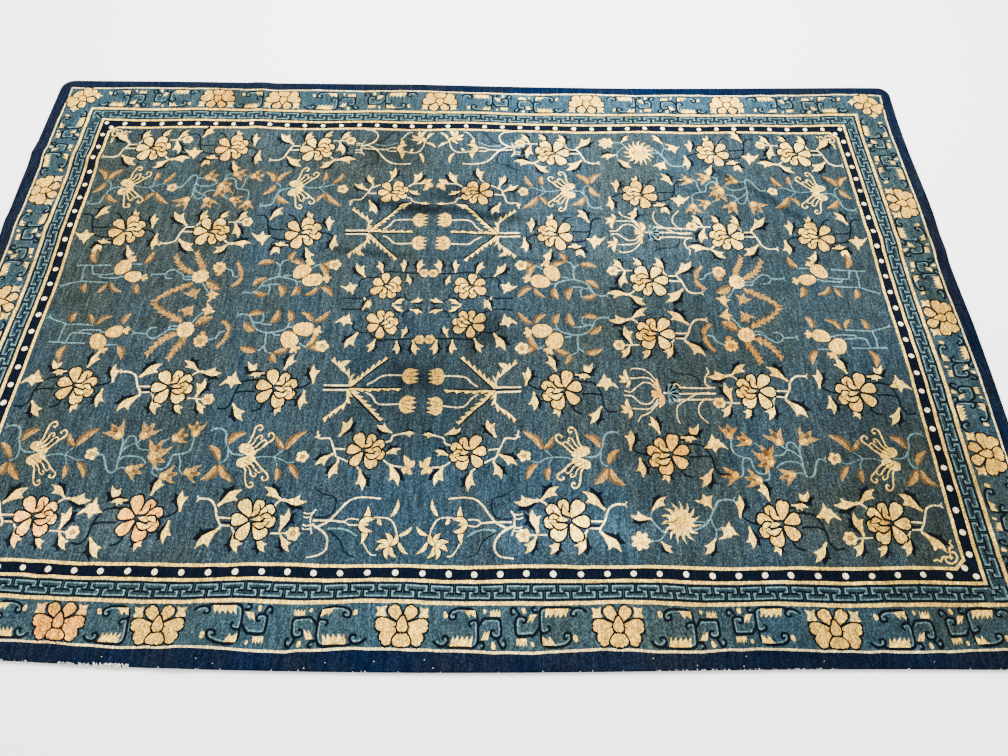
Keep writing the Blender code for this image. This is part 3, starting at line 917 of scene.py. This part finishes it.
def cut_up(outlines, yarns, loose):
    """Triangles between all the outlines; each takes the yarn of the last outline laid over it."""
    turn = [np.sum(o[:, 0] * np.roll(o[:, 1], -1) - o[:, 1] * np.roll(o[:, 0], -1)) for o in outlines]
    outlines = [o if area > 0 else o[::-1] for o, area in zip(outlines, turn)]
    counts = np.array([len(o) for o in outlines])
    starts = np.r_[0, np.cumsum(counts)[:-1]]
    faces = [list(range(start, start + count)) for start, count in zip(starts, counts)]
    points = np.vstack(outlines + [loose])
    found = delaunay_2d_cdt(points.tolist(), [], faces, 1, 1e-6)
    places, triangles, owners = np.array(found[0]), np.array(found[2]), found[5]
    sizes = np.array([len(owner) for owner in owners])
    laid = np.fromiter(itertools.chain.from_iterable(owners), int)
    last = np.maximum.reduceat(laid, np.r_[0, np.cumsum(sizes)[:-1]])
    return places, triangles, np.array(yarns)[last]


def drift(x, y, size, seed):
    """A smooth random field of about one unit: five sine waves of random heading, phase and length."""
    rng = np.random.default_rng(seed)
    headings, phases, scales = rng.uniform(0, np.pi, 5), rng.uniform(0, 6.28, 5), rng.uniform(0.6, 1.5, 5)
    total = 0.0
    for heading, phase, scale in zip(headings, phases, scales):
        total = total + np.sin((x * np.cos(heading) + y * np.sin(heading)) * 6.283 / (size * scale) + phase)
    return total / 2.4


YARNS = (
    "ivory", "guard", "cream", "border_blue", "fret_blue", "band_navy", "field_blue",
    "navy", "tan", "brown", "pale", "pearl", "peach", "back",
)
# The edge is rounded over: how high it stands at each distance inside it, as shares of the thickness.
EDGE_TOP = ((0.0, 0.0008, 0.0022, 0.0048), (0.5, 0.82, 0.97, 1.0))
EDGE_BACK = ((0.0, 0.0008, 0.0026), (0.5, 0.14, 0.0))
outlines = [rounded_rectangle(inset) for inset in EDGE_TOP[0]] + drawing.outlines[1:]
yarns = ["guard"] * len(EDGE_TOP[0]) + drawing.yarns[1:]
spacing = 0.034
# The low ridges: start, end, half width and height. Points are closer together on them.
RIDGES = (
    ((-0.34, 0.40), (0.16, 0.33), 0.040, 0.0060),
    ((0.56, 0.64), (0.90, 0.40), 0.055, 0.0065),
    ((-1.40, 0.585), (-1.14, 0.55), 0.050, 0.0070),
    ((-1.40, 0.31), (-1.22, 0.27), 0.050, 0.0045),
    ((1.40, 0.22), (1.17, 0.27), 0.050, 0.0050),
    ((-0.72, 0.95), (-0.66, 0.45), 0.050, 0.0040),
    ((0.64, 0.10), (0.63, -0.60), 0.060, 0.0030),
    ((-0.20, -0.09), (0.20, -0.07), 0.050, 0.0040),
    ((-0.62, -0.95), (-0.48, -0.74), 0.050, 0.0040),
)


def close_up(start, end, half):
    """Points on and beside one ridge: rows along it, spaced by a third of its half width."""
    along, across = np.array(end) - start, np.arange(-3, 4) * half / 3
    reach = np.hypot(*along)
    along = along / reach
    t, side = np.meshgrid(np.arange(-half, reach + half, 0.020), across)
    points = start + t.reshape(-1, 1) * along + side.reshape(-1, 1) * (-along[1], along[0])
    inside = (np.abs(points) < (length / 2 - 0.02, width / 2 - 0.02)).all(1)
    return points[inside]


gx, gy = np.meshgrid(
    np.arange(-length / 2 + 0.02, length / 2 - 0.01, spacing),
    np.arange(-width / 2 + 0.02, width / 2 - 0.01, spacing),
)
loose = np.stack([gx.ravel(), gy.ravel()], 1)
ridge_points = [close_up(np.array(start), end, half) for start, end, half, _ in RIDGES]
top_at, top_faces, top_yarn = cut_up(outlines, [YARNS.index(y) for y in yarns],
                                     np.vstack([loose, *ridge_points]))

edge_back = [rounded_rectangle(inset) for inset in EDGE_BACK[0]]
bands = [rounded_rectangle(inset, 0.09) for _, inset in STRIPES[1:]]
back_yarns = [YARNS.index(y) for y in ["guard"] * len(EDGE_BACK[0]) + [yarn for yarn, _ in STRIPES[1:]]]
back_at, back_faces, back_yarn = cut_up(edge_back + bands, back_yarns, loose[::5])


def inset_of(x, y):
    """How far a point lies inside the rug's edge, round corners and all."""
    dx, dy = np.abs(x) - (length / 2 - corner), np.abs(y) - (width / 2 - corner)
    outside = np.hypot(dx.clip(0), dy.clip(0))
    return corner - outside - np.minimum(np.maximum(dx, dy), 0)


def swell(distance, half_width):
    """A cosine bell: one at the middle, flat and zero from half_width on."""
    return np.where(np.abs(distance) < half_width, 0.5 + 0.5 * np.cos(np.pi * distance / half_width), 0.0)


# Each edge is drawn in by soft swells: their middle, half width and depth in metres.
EDGE_SWELLS = {
    "back": ((0.46, 1.00, 0.014), (-0.55, 0.42, 0.004)),
    "front": ((-1.40, 0.85, 0.017),),
    "left": ((0.10, 0.46, 0.009), (-0.66, 0.34, 0.006)),
    "right": ((0.70, 0.36, 0.009), (0.18, 0.24, 0.006), (-0.55, 0.40, 0.005)),
}


def drawn_in(side, along):
    """How far a side lies inside the full rectangle."""
    return sum(depth * swell(along - middle, half) for middle, half, depth in EDGE_SWELLS[side])


# The front edge bows outwards: where most, how far that fades along it and inwards, and by how much.
BOW_AT, BOW_HALF, BOW_DEPTH, BOW = -0.12, 1.15, 0.09, 0.013


def uneven(x, y):
    """The true rectangle's points moved to the uneven outline; the pull is least in the middle."""
    across, along = (y / (width / 2)) ** 2, (x / (length / 2)) ** 2
    new_x = np.where(x > 0, x - along * drawn_in("right", y), x + along * drawn_in("left", y))
    new_y = np.where(y > 0, y - across * drawn_in("back", x), y + across * drawn_in("front", x))
    near = np.interp(y, (-width / 2, BOW_DEPTH - width / 2), (1.0, 0.0))
    return new_x, new_y - BOW * swell(x - BOW_AT, BOW_HALF) * near


def lift(x, y):
    """Height of the underside: the highest ridge here, a bell across it that fades beyond both ends."""
    highest = np.zeros_like(x)
    for (ax, ay), (bx, by), half, height in RIDGES:
        reach = np.hypot(bx - ax, by - ay)
        ux, uy = (bx - ax) / reach, (by - ay) / reach
        along = (x - ax) * ux + (y - ay) * uy
        beyond = np.maximum(0, np.maximum(-along, along - reach))
        bell = swell((y - ay) * ux - (x - ax) * uy, half) * swell(beyond, half)
        highest = np.maximum(highest, height * bell)
    return highest


THICK = 0.009
at = np.vstack([top_at, back_at])
inset = inset_of(at[:, 0], at[:, 1])
upper = np.arange(len(at)) < len(top_at)
height = np.where(upper, np.interp(inset, *EDGE_TOP), np.interp(inset, *EDGE_BACK))
# the weave is not straight: lines wander by a few millimetres, less at the rug's edge
x, y = at.T
calm = np.interp(inset, (0.0, 0.03), (0.0, 1.0))
x = x + calm * (0.0024 * drift(x, y, 0.35, 4) + 0.0007 * drift(x, y, 0.05, 6))
y = y + calm * (0.0032 * drift(x, y, 0.30, 5) + 0.0007 * drift(x, y, 0.05, 7))
x, y = uneven(x, y)
z = THICK * height + lift(x, y)
z = z + np.where(upper & (inset > EDGE_TOP[0][-1]), 0.00035 * drift(x, y, 0.06, 8), 0.0)

corners, index = np.unique(np.round(np.stack([x, y, z], 1), 7), axis=0, return_inverse=True)
index = index.ravel()
faces = np.vstack([index[top_faces], index[back_faces + len(top_at)][:, ::-1]])
yarn_of = np.r_[top_yarn, back_yarn]
rug_mesh = bpy.data.meshes.new("rug")
rug_mesh.vertices.add(len(corners))
rug_mesh.vertices.foreach_set("co", corners.ravel())
rug_mesh.loops.add(faces.size)
rug_mesh.loops.foreach_set("vertex_index", faces.ravel())
rug_mesh.polygons.add(len(faces))
rug_mesh.polygons.foreach_set("loop_start", np.arange(0, faces.size, 3))
rug_mesh.polygons.foreach_set("material_index", yarn_of)
rug_mesh.polygons.foreach_set("use_smooth", np.ones(len(faces), bool))
rug_mesh.update(calc_edges=True)
rug = bpy.data.objects.new("wool_rug", rug_mesh)
bpy.context.scene.collection.objects.link(rug)

# the rug's own flat map: the top fills it but for a strip, which holds the underside
flat = rug_mesh.uv_layers.new(name="OFBake")
corner_x, corner_y = corners[faces.ravel(), 0], corners[faces.ravel(), 1]
over = np.repeat(np.arange(len(faces)) < len(top_faces), 3)
u = 0.002 + 0.996 * (corner_x / length + 0.5)
v = corner_y / width + 0.5
flat.uv.foreach_set("vector", np.stack([u, np.where(over, 0.002 + 0.936 * v, 0.942 + 0.056 * v)], 1).ravel())


# ---------------------------------------------------------------- dyed wool
# One material for each yarn, all made in one way: two dye lots, knots that differ in lightness, stains that
# are partly painted shade on the ridges, lighter stretches that are partly faded wool and partly painted
# sheen, darker stretches, and painted shade along the creases, each placed in the rug's own metres.
class Wire:
    """One output in a material's nodes; +, -, *, / and ** on it each add a Math node."""

    def __init__(self, tree, socket=None):
        self.tree, self.socket = tree, socket

    def add(self, kind, settings, inputs, output=0):
        """A node of any kind, with its settings and its inputs by name or number."""
        node = self.tree.nodes.new(kind)
        for name, value in settings.items():
            setattr(node, name, value)
        for name, value in inputs.items():
            if isinstance(value, Wire):
                self.tree.links.new(value.socket, node.inputs[name])
            else:
                node.inputs[name].default_value = value
        return Wire(self.tree, node.outputs[output])

    def maths(self, operation, *values):
        return self.add("ShaderNodeMath", {"operation": operation}, dict(enumerate(values)))

    def vector(self, operation, *values, output=0):
        return self.add("ShaderNodeVectorMath", {"operation": operation}, dict(enumerate(values)), output)

    def __add__(self, other):
        return self.maths("ADD", self, other)

    def __sub__(self, other):
        return self.maths("SUBTRACT", self, other)

    def __rsub__(self, other):
        return self.maths("SUBTRACT", other, self)

    def __mul__(self, other):
        return self.maths("MULTIPLY", self, other)

    def __truediv__(self, other):
        return self.maths("DIVIDE", self, other)

    def __rtruediv__(self, other):
        return self.maths("DIVIDE", other, self)

    def __pow__(self, other):
        return self.maths("POWER", self, other)

    __radd__, __rmul__ = __add__, __mul__

    def ramp(self, low, high):
        """0 at or below low, 1 at or above high, smooth between."""
        settings = {"interpolation_type": "SMOOTHSTEP", "clamp": True}
        return self.add("ShaderNodeMapRange", settings, {"Value": self, "From Min": low, "From Max": high})

    def mix(self, a, b, how="MIX"):
        """From colour a to colour b by this amount."""
        return self.add("ShaderNodeMix", {"data_type": "RGBA", "blend_type": how}, {0: self, 6: a, 7: b}, 2)


def noise(wire, place, stretch, scale, detail=2.0, rough=0.5):
    """Noise of about one lump in 1/scale metres, drawn out along each axis by stretch."""
    at = wire.vector("MULTIPLY", place, stretch)
    inputs = {"Vector": at, "Scale": scale, "Detail": detail, "Roughness": rough}
    return wire.add("ShaderNodeTexNoise", {}, inputs)


def spot(wire, place, x, y, wide, tall):
    """1 at the middle of an oval spot on the rug and 0 outside it, with a soft edge."""
    off = wire.vector("SUBTRACT", place, (x, y, 0.0))
    scaled = wire.vector("MULTIPLY", off, (1 / wide, 1 / tall, 0.0))
    return wire.vector("LENGTH", scaled, output=1).ramp(1.0, 0.25)


def crease_shade(wire, place, waver, start, end, wide):
    """The mask of painted crease shade: 1 along a line where the pile parts, 0 beyond wide to either side; it
    fades out at both ends.
    """
    along = np.subtract(end, start)
    reach = float(np.hypot(*along))
    ux, uy = along / reach
    off = wire.vector("SUBTRACT", place, (*start, 0.0))
    down = wire.vector("DOT_PRODUCT", off, (ux, uy, 0.0), output=1)
    side = wire.vector("DOT_PRODUCT", off, (-uy, ux, 0.0), output=1)
    line = wire.maths("ABSOLUTE", side + waver).ramp(wide, wide * 0.15)
    return line * wire.maths("ABSOLUTE", down - reach / 2).ramp(reach / 2 + 0.05, reach / 2 - 0.08)


def linear(colour):
    """A colour of the screen, 0 to 255, as the renderer's linear light."""
    c = np.array(colour) / 255
    return (*np.where(c <= 0.04045, c / 12.92, ((c + 0.055) / 1.055) ** 2.4), 1.0)


# Marks of use, and lighter and darker stretches of pile: middle, half width and half height of each, in
# metres. The dark stains are partly painted shade along the ridges, and the lighter stretches are partly
# faded wool and partly painted sheen towards the back right.
DARK_STAINS_AND_SHADE = (
    (-0.04, 0.43, 0.16, 0.07), (0.02, -0.06, 0.12, 0.10), (-0.12, -0.20, 0.12, 0.08),
    (-0.16, 0.36, 0.12, 0.04),
)
BROWN_STAINS = (
    (0.62, -0.12, 0.36, 0.30), (0.58, -0.42, 0.34, 0.26), (-0.81, 0.83, 0.13, 0.10),
    (-0.80, 0.62, 0.12, 0.20),
)
FADED_AND_SHEEN = (
    (0.55, 0.845, 0.85, 0.085), (0.45, 0.62, 0.85, 0.28), (0.42, 0.30, 0.50, 0.30), (-0.78, 0.66, 0.30, 0.16),
    (0.25, -0.62, 0.30, 0.10), (-0.9, -0.62, 0.4, 0.10),
)
DULLED = (
    (1.12, -0.45, 0.40, 0.50), (1.00, -0.84, 0.70, 0.26), (1.34, 0.0, 0.12, 0.6), (-0.15, -0.25, 0.30, 0.30),
    (-0.25, 0.62, 0.16, 0.14),
)
ROSE_STAINS = ((-1.00, -0.60, 0.13, 0.10), (-0.74, -0.60, 0.09, 0.10), (-0.88, -0.83, 0.15, 0.07))
# Where one dye lot prevails: the bluer first one, or the greener second one.
FIRST_LOT = ((0.10, -0.60, 0.75, 0.30), (0.55, 0.85, 0.80, 0.12))
SECOND_LOT = (
    (-1.02, 0.30, 0.50, 0.70), (1.10, -0.60, 0.45, 0.40), (-0.30, 0.55, 0.30, 0.2), (1.30, 0.3, 0.12, 0.5),
)
# Painted shade along the creases where the rug was folded and the pile parts, on its ridges: start, end, half
# width and how dark the painted shade is.
CREASE_SHADES = (
    ((-0.38, 0.402), (0.17, 0.325), 0.024, 0.55), ((-0.44, 0.215), (-0.16, 0.190), 0.018, 0.45),
    ((0.66, 0.585), (1.02, 0.310), 0.022, 0.42), ((0.14, 0.346), (0.62, 0.350), 0.009, 0.28),
    ((-0.16, 0.182), (0.52, 0.176), 0.009, 0.25), ((-0.70, 0.90), (-0.665, 0.45), 0.012, 0.25),
)

# No painted crease shade is laid on the stripes that these yarns fill.
NO_CREASE_SHADE = ("guard", "fret_blue", "band_navy", "pearl", "back")


def patch_strength(wire, place, spots):
    """How strongly these marks show here: the strongest of them, its edge broken by cloudy noise."""
    ragged = noise(wire, place, (1.0, 1.0, 1.0), 14.0, 3.0, 0.6)
    total = spot(wire, place, *spots[0])
    for one in spots[1:]:
        total = total.maths("MAXIMUM", total, spot(wire, place, *one))
    return (total * (ragged * 2.4 - 0.4)).ramp(0.05, 0.85)


def mottle(wire, place):
    """How light each knot is, and the tone that drifts over the rug: (knots, streaks, dye lot)."""
    knots = noise(wire, place, (1.0, 0.7, 1.0), 300.0, 2.0, 0.8)
    streak = noise(wire, place, (1.0, 0.12, 1.0), 130.0, 3.0, 0.7)
    abrash = noise(wire, place, (1.0, 0.06, 1.0), 3.4, 3.0, 0.6)
    cloud = noise(wire, place, (1.0, 0.7, 1.0), 4.5, 3.0, 0.6)
    second = patch_strength(wire, place, SECOND_LOT) * 0.45 - patch_strength(wire, place, FIRST_LOT) * 0.5
    return knots, streak, (abrash - 0.5) * 1.5 + (cloud - 0.5) * 1.6 + (streak - 0.5) * 1.2 + 0.5 + second


def wool(name, colour, other, speckle=1.0, pale=False):
    """Dyed wool pile: colour and other are its two dye lots, which change over in bands and clouds."""
    material = bpy.data.materials.new("wool_" + name)
    material.use_nodes = True
    wire = Wire(material.node_tree)
    shader = material.node_tree.nodes["Principled BSDF"]
    shader.inputs["Roughness"].default_value = 0.95
    shader.inputs["Specular IOR Level"].default_value = 0.03
    place = wire.add("ShaderNodeTexCoord", {}, {}, "Object")
    knots, streak, lot = mottle(wire, place)
    dyed = lot.maths("MAXIMUM", lot, 0.0).maths("MINIMUM", lot, 1.0).mix(linear(colour), linear(other))
    brown = patch_strength(wire, place, BROWN_STAINS)
    soil_and_shade = (brown * (0.75 if pale else 0.35)).mix(dyed, (0.66, 0.50, 0.30, 1.0), "MULTIPLY")
    if pale:
        soil_and_shade = (patch_strength(wire, place, ROSE_STAINS) * 0.8).mix(soil_and_shade, (1.0, 0.62, 0.50, 1.0), "MULTIPLY")
    # Painted shade: the dark stains lie partly on the ridges and darken the colour there as shade would; the
    # rest are stains.
    dark = patch_strength(wire, place, DARK_STAINS_AND_SHADE)
    soil_and_shade = (dark * (0.45 if pale else 0.65)).mix(soil_and_shade, (0.30, 0.30, 0.34, 1.0), "MULTIPLY")
    # Painted sheen and shade: the lighter stretches are partly faded wool and partly painted sheen towards
    # the back right, the dulled ones are darker, and the painted crease shade is multiplied in below.
    fade_sheen_and_shade = (patch_strength(wire, place, FADED_AND_SHEEN) * 0.5 + 1.0) / (patch_strength(wire, place, DULLED) * 0.50 + 1.0)
    # Painted shade: the colour is darkened along each crease, on the ridges, where shade falls as the pile
    # parts.
    if name not in NO_CREASE_SHADE:
        waver = (noise(wire, place, (1.0, 0.3, 1.0), 7.0, 2.0, 0.5) - 0.5) * 0.05
        for start, end, wide, depth in CREASE_SHADES:
            fade_sheen_and_shade = fade_sheen_and_shade * (1.0 - crease_shade(wire, place, waver, start, end, wide) * depth)
    uneven_pile = (knots - 0.5) * (5.0 * speckle) + (streak - 0.5) * (2.4 * speckle)
    light = fade_sheen_and_shade * wire.maths("POWER", 2.0, uneven_pile)
    gain = wire.add("ShaderNodeCombineColor", {}, {0: light, 1: light, 2: light})
    settings = {"data_type": "RGBA", "blend_type": "MULTIPLY"}
    lit = wire.add("ShaderNodeMix", settings, {0: 1.0, 6: soil_and_shade, 7: gain}, 2)
    wire.tree.links.new(lit.socket, shader.inputs["Base Color"])
    bump = wire.add("ShaderNodeBump", {}, {"Strength": 0.6, "Distance": 0.0015, "Height": knots + streak})
    wire.tree.links.new(bump.socket, shader.inputs["Normal"])
    return material


# Each yarn's two dye lots, how strongly its knots differ, and whether stains show on it fully.
DYES = {
    "guard": ((0, 12, 33), (13, 18, 26), 1.6, False),
    "cream": ((220, 184, 88), (188, 149, 62), 1.7, True),
    "ivory": ((214, 192, 134), (190, 166, 106), 1.6, True),
    "border_blue": ((32, 53, 63), (35, 46, 46), 1.6, False),
    "fret_blue": ((27, 43, 50), (26, 38, 41), 1.4, False),
    "band_navy": ((3, 9, 21), (4, 8, 16), 1.2, False),
    "field_blue": ((28, 44, 53), (33, 40, 38), 1.7, False),
    "navy": ((4, 8, 17), (6, 10, 13), 1.0, False),
    "tan": ((142, 108, 54), (116, 86, 43), 1.6, True),
    "brown": ((82, 62, 36), (64, 48, 29), 1.3, True),
    "pale": ((80, 108, 110), (68, 90, 90), 1.4, False),
    "pearl": ((232, 222, 190), (218, 199, 152), 0.7, True),
    "peach": ((204, 160, 66), (172, 128, 48), 1.7, True),
    "back": ((54, 69, 73), (49, 60, 64), 1.2, False),
}
for yarn in YARNS:
    rug_mesh.materials.append(wool(yarn, *DYES[yarn]))

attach(rug, "root")
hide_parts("rug")

# ============================================================ frayed edge threads
# Ends of the white cotton warps and wefts, worn bare at the edges, most of all on the
# left half of the front. Each tuft comes out of the edge and sags to the floor.
TUFTS = (
    # side, from and to along it, how many, their size
    ("front", -0.775, -0.700, 64, 1.0), ("front", -0.850, -0.775, 30, 0.7),
    ("front", -1.150, -0.850, 26, 0.5), ("front", -1.330, 1.320, 46, 0.45),
    ("front", 0.420, 0.800, 60, 0.4), ("left", -0.700, 0.700, 10, 0.5), ("right", -0.750, 0.800, 22, 0.6),
    ("back", -1.200, 1.200, 8, 0.5),
)
rng = np.random.default_rng(21)
along = np.concatenate([rng.uniform(low, high, count) for _, low, high, count, _ in TUFTS])
side = np.concatenate([np.full(count, name) for name, _, _, count, _ in TUFTS])
size = np.concatenate([np.full(count, of_size) for _, _, _, count, of_size in TUFTS])
upright = np.isin(side, ("left", "right"))
sign = np.where(np.isin(side, ("front", "left")), -1.0, 1.0)
inside = size * rng.uniform(0.0005, 0.0060, len(along))
foot_x, foot_y = uneven(
    np.where(upright, sign * (length / 2 - inside), along),
    np.where(upright, along, sign * (width / 2 - inside)),
)
outwards = np.where(upright, np.where(sign > 0, 0.0, np.pi), sign * np.pi / 2)
heading = outwards + rng.normal(0, 0.55, len(along))
reach = inside + size * rng.uniform(0.003, 0.009, len(along))
bend = rng.normal(0, 0.5, len(along))
thick = (0.5 + 0.5 * size) * rng.uniform(0.0005, 0.0011, len(along))


def tufts(rings, sides):
    """Rings along every tuft: over the edge on its heading, bent aside by the square of the way, and down."""
    t = np.linspace(0, 1, rings)[None, :]
    ahead, aside = reach[:, None] * t, (reach * bend)[:, None] * t ** 2
    cos, sin = np.cos(heading)[:, None], np.sin(heading)[:, None]
    out = ahead - inside[:, None]
    down_to = (THICK, THICK - 0.0002, THICK * 0.66, 0.002, 0.0)
    fall = np.interp(out, (-0.004, -0.0015, 0.0003, 0.003, 0.006), down_to)
    middle = np.stack([
        foot_x[:, None] + ahead * cos - aside * sin,
        foot_y[:, None] + ahead * sin + aside * cos,
        lift(foot_x, foot_y)[:, None] * (fall / THICK) + fall + thick[:, None] + 0.0002,
    ], 2)
    turn = np.arange(sides) * 2 * np.pi / sides
    slim = (thick[:, None] * (1 - 0.45 * t))[:, :, None]
    across = slim * np.cos(turn)
    ring = np.stack([across * -sin[:, :, None], across * cos[:, :, None], slim * np.sin(turn)], 3)
    return (middle[:, :, None] + ring).reshape(-1, 3)


rings, sides = 5, 4
grid = np.arange(len(along) * rings * sides).reshape(len(along), rings, sides)
beside = np.roll(grid, -1, 2)
walls = np.stack([grid[:, :-1], beside[:, :-1], beside[:, 1:], grid[:, 1:]], 3).reshape(-1, 4)
walls = np.vstack([walls, grid[:, 0, ::-1], grid[:, -1]])
thread_mesh = bpy.data.meshes.new("edge_threads")
thread_mesh.from_pydata(tufts(rings, sides).tolist(), [], walls.tolist())
cotton = bpy.data.materials.new("cotton_warp")
cotton.use_nodes = True
cotton.node_tree.nodes["Principled BSDF"].inputs["Base Color"].default_value = (0.80, 0.76, 0.68, 1.0)
cotton.node_tree.nodes["Principled BSDF"].inputs["Roughness"].default_value = 0.9
thread_mesh.materials.append(cotton)
threads = bpy.data.objects.new("edge_threads", thread_mesh)
bpy.context.scene.collection.objects.link(threads)
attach(threads, "root")
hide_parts("rug")

# ================================================================== the floor
# A plain pale sweep under the rug, which belongs to the room and not to the rug.
half = 12.0
floor_mesh = bpy.data.meshes.new("floor")
floor_mesh.from_pydata([(-half, -half, 0), (half, -half, 0), (half, half, 0),
                        (-half, half, 0)], [], [(0, 1, 2, 3)])
floor = bpy.data.objects.new("floor", floor_mesh)
bpy.context.scene.collection.objects.link(floor)
paint = bpy.data.materials.new("floor")
paint.use_nodes = True
paint.node_tree.nodes["Principled BSDF"].inputs["Base Color"].default_value = (0.94, 0.94, 0.94, 1.0)
paint.node_tree.nodes["Principled BSDF"].inputs["Roughness"].default_value = 0.9
floor_mesh.materials.append(paint)

# ============================================================= light and view
# A broad soft light overhead, a little stronger from the back, and an even bright room.
world = bpy.data.worlds.new("room")
world.use_nodes = True
world.node_tree.nodes["Background"].inputs["Color"].default_value = (1.0, 1.0, 1.0, 1.0)
world.node_tree.nodes["Background"].inputs["Strength"].default_value = 2.15
bpy.context.scene.world = world
lamp_data = bpy.data.lights.new("softbox", "AREA")
lamp_data.shape, lamp_data.size, lamp_data.size_y, lamp_data.energy = "RECTANGLE", 3.0, 1.6, 400.0
lamp = bpy.data.objects.new("softbox", lamp_data)
lamp.matrix_world = Matrix.Translation((0.2, 1.6, 2.6)) @ Matrix.Rotation(np.radians(-30), 4, "X")
bpy.context.scene.collection.objects.link(lamp)

view_data = bpy.data.cameras.new("view")
view_data.lens, view_data.sensor_width = 27.04, 36.0
view = bpy.data.objects.new("view", view_data)
swing, tip, roll = (Matrix.Rotation(np.radians(a), 4, axis) for a, axis in ((-0.45, "Z"),
                                                                            (29.61, "X"), (0.82, "Z")))
view.matrix_world = Matrix.Translation((0.087, -1.177, 1.713)) @ (swing @ tip @ roll)
bpy.context.scene.collection.objects.link(view)
bpy.context.scene.camera = view
